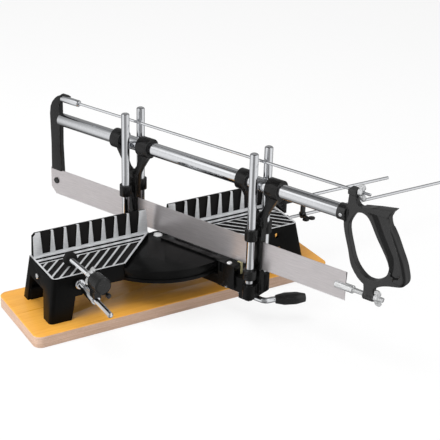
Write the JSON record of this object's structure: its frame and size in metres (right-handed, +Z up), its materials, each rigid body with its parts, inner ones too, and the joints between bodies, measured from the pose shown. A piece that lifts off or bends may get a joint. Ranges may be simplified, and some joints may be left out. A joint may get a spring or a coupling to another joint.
{
  "type": "manual mitre saw",
  "caption": "Manual mitre saw: tubular saw frame sliding in guides on posts of a swinging arm, ribbed tables with a fence on a wooden board, work clamp and length stop.",
  "frame": {"origin": "on the arm's swing axis, on the underside of the board", "axes": "+X along the fence to the right, +Y to the back, +Z up"},
  "size_m": [0.772, 0.5944, 0.2605],
  "materials": {
    "board_wood": "clear lacquer",
    "black_casting": "semi-gloss black",
    "grey_plate": "satin",
    "dark_steel": "blackened",
    "bright_steel": "polished",
    "plated_steel": "zinc plated",
    "blade_steel": "ground",
    "black_plastic": "satin",
    "cream_paint": "satin"
  },
  "bodies": {
    "base": {"base_board": "board_wood", "board_screws": "plated_steel", "right_table_casting": "black_casting", "left_table_casting": "black_casting", "half_disc_casting": "black_casting", "disc_screws": "plated_steel", "pivot_bolt": "plated_steel", "pivot_washer": "plated_steel", "pivot_nut": "plated_steel", "clamp_rod": "bright_steel", "clamp_rod_nut": "plated_steel", "end_hole_plug": "plated_steel"},
    "arm": {"swing_arm": "black_casting", "kerf_plate": "grey_plate", "arm_deck_screw": "plated_steel", "angle_pointer": "cream_paint", "arm_side_screw": "plated_steel", "rear_left_post": "bright_steel", "rear_right_post": "bright_steel", "front_left_post": "bright_steel", "front_right_post": "bright_steel"},
    "depth_stop": {"depth_stop_ring": "black_casting", "depth_stop_screw": "plated_steel"},
    "lock_lever": {"lock_lever_bar": "bright_steel", "lock_lever_grip": "black_plastic"},
    "rear_slider": {"rear_guide": "black_casting", "rear_guide_screws": "plated_steel"},
    "front_slider": {"front_guide": "black_casting", "front_guide_screws": "plated_steel"},
    "saw": {"saw_tube": "bright_steel", "saw_blade": "blade_steel", "rear_bracket": "black_casting", "blade_peg": "plated_steel", "tension_rod": "bright_steel", "rod_barrel": "bright_steel", "handle": "black_casting", "socket_screw": "plated_steel", "blade_tension_bolt": "plated_steel", "bolt_peg": "plated_steel"},
    "rod_wing": {"rod_wing_nut": "plated_steel"},
    "bolt_wing": {"bolt_wing_nut": "plated_steel"},
    "clamp_slider": {"clamp_sleeve": "bright_steel"},
    "clamp_carrier": {"clamp_head": "black_casting"},
    "clamp_ram": {"clamp_spindle": "bright_steel", "clamp_foot": "black_plastic"},
    "clamp_wing": {"clamp_wing_nut": "plated_steel"},
    "clamp_lock": {"clamp_lock_screw": "dark_steel"},
    "stop_bar": {"stop_rod": "bright_steel"},
    "stop_slider": {"stop_link": "black_casting"},
    "stop_lock": {"link_wing_screw": "black_casting"},
    "stop_reach": {"stop_upper_rod": "bright_steel", "stop_plate": "black_casting"}
  },
  "joints": [
    {"name": "mitre_swing", "type": "hinge", "parent": "base", "child": "arm", "pos_m": [0, 0, 0], "axis": [0, 0, 1], "range_deg": [-64, 22.5]},
    {"name": "depth_stop_slide", "type": "slide", "parent": "arm", "child": "depth_stop", "axis": [0, 0, 1], "range_m": [-0.009, 0.046]},
    {"name": "lock_lever_turn", "type": "hinge", "parent": "arm", "child": "lock_lever", "pos_m": [0.06506, -0.15706, 0.0324], "axis": [0.3827, -0.9239, 0], "range_deg": [0, 45]},
    {"name": "front_lift", "type": "slide", "parent": "arm", "child": "front_slider", "axis": [0, 0, 1], "range_m": [0, 0.1]},
    {"name": "rear_lift", "type": "slide", "parent": "arm", "child": "rear_slider", "axis": [0, 0, 1], "range_m": [0, 0.1]},
    {"name": "saw_stroke", "type": "slide", "parent": "front_slider", "child": "saw", "axis": [0.3827, -0.9239, 0], "range_m": [-0.092, 0.111]},
    {"name": "rod_wing_turn", "type": "hinge", "parent": "saw", "child": "rod_wing", "pos_m": [0.13011, -0.31412, 0.2446], "axis": [0.3827, -0.9239, 0], "continuous": true},
    {"name": "bolt_wing_turn", "type": "hinge", "parent": "saw", "child": "bolt_wing", "pos_m": [0.14465, -0.34923, 0.1015], "axis": [0.3827, -0.9239, 0], "continuous": true},
    {"name": "clamp_slide", "type": "slide", "parent": "base", "child": "clamp_slider", "axis": [0, -1, 0], "range_m": [-0.015, 0.049]},
    {"name": "clamp_tilt", "type": "hinge", "parent": "clamp_slider", "child": "clamp_carrier", "pos_m": [-0.163, -0.121, 0.069], "axis": [0, 1, 0], "range_deg": [-10, 10]},
    {"name": "clamp_feed", "type": "slide", "parent": "clamp_carrier", "child": "clamp_ram", "axis": [0, 0.9969, -0.0785], "range_m": [-0.0015, 0.003]},
    {"name": "clamp_wing_turn", "type": "hinge", "parent": "clamp_ram", "child": "clamp_wing", "pos_m": [-0.163, -0.10831, 0.09842], "axis": [0, 0.9969, -0.0785], "continuous": true},
    {"name": "clamp_lock_turn", "type": "hinge", "parent": "clamp_carrier", "child": "clamp_lock", "pos_m": [-0.155, -0.145, 0.0855], "axis": [0, -1, 0], "continuous": true},
    {"name": "stop_tilt", "type": "hinge", "parent": "base", "child": "stop_bar", "pos_m": [0.21, -0.025, 0.066], "axis": [1, 0, 0], "range_deg": [-30, 30]},
    {"name": "stop_slide", "type": "slide", "parent": "stop_bar", "child": "stop_slider", "axis": [1, 0, 0], "range_m": [0, 0.24]},
    {"name": "stop_lock_turn", "type": "hinge", "parent": "stop_slider", "child": "stop_lock", "pos_m": [0.2445, -0.035, 0.066], "axis": [0, -1, 0], "continuous": true},
    {"name": "stop_reach_slide", "type": "slide", "parent": "stop_slider", "child": "stop_reach", "axis": [1, 0, 0], "range_m": [0, 0.019]}
  ],
  "couplings": [
    {"joint": "rear_lift", "follows": "front_lift", "ratio": 1}
  ]
}
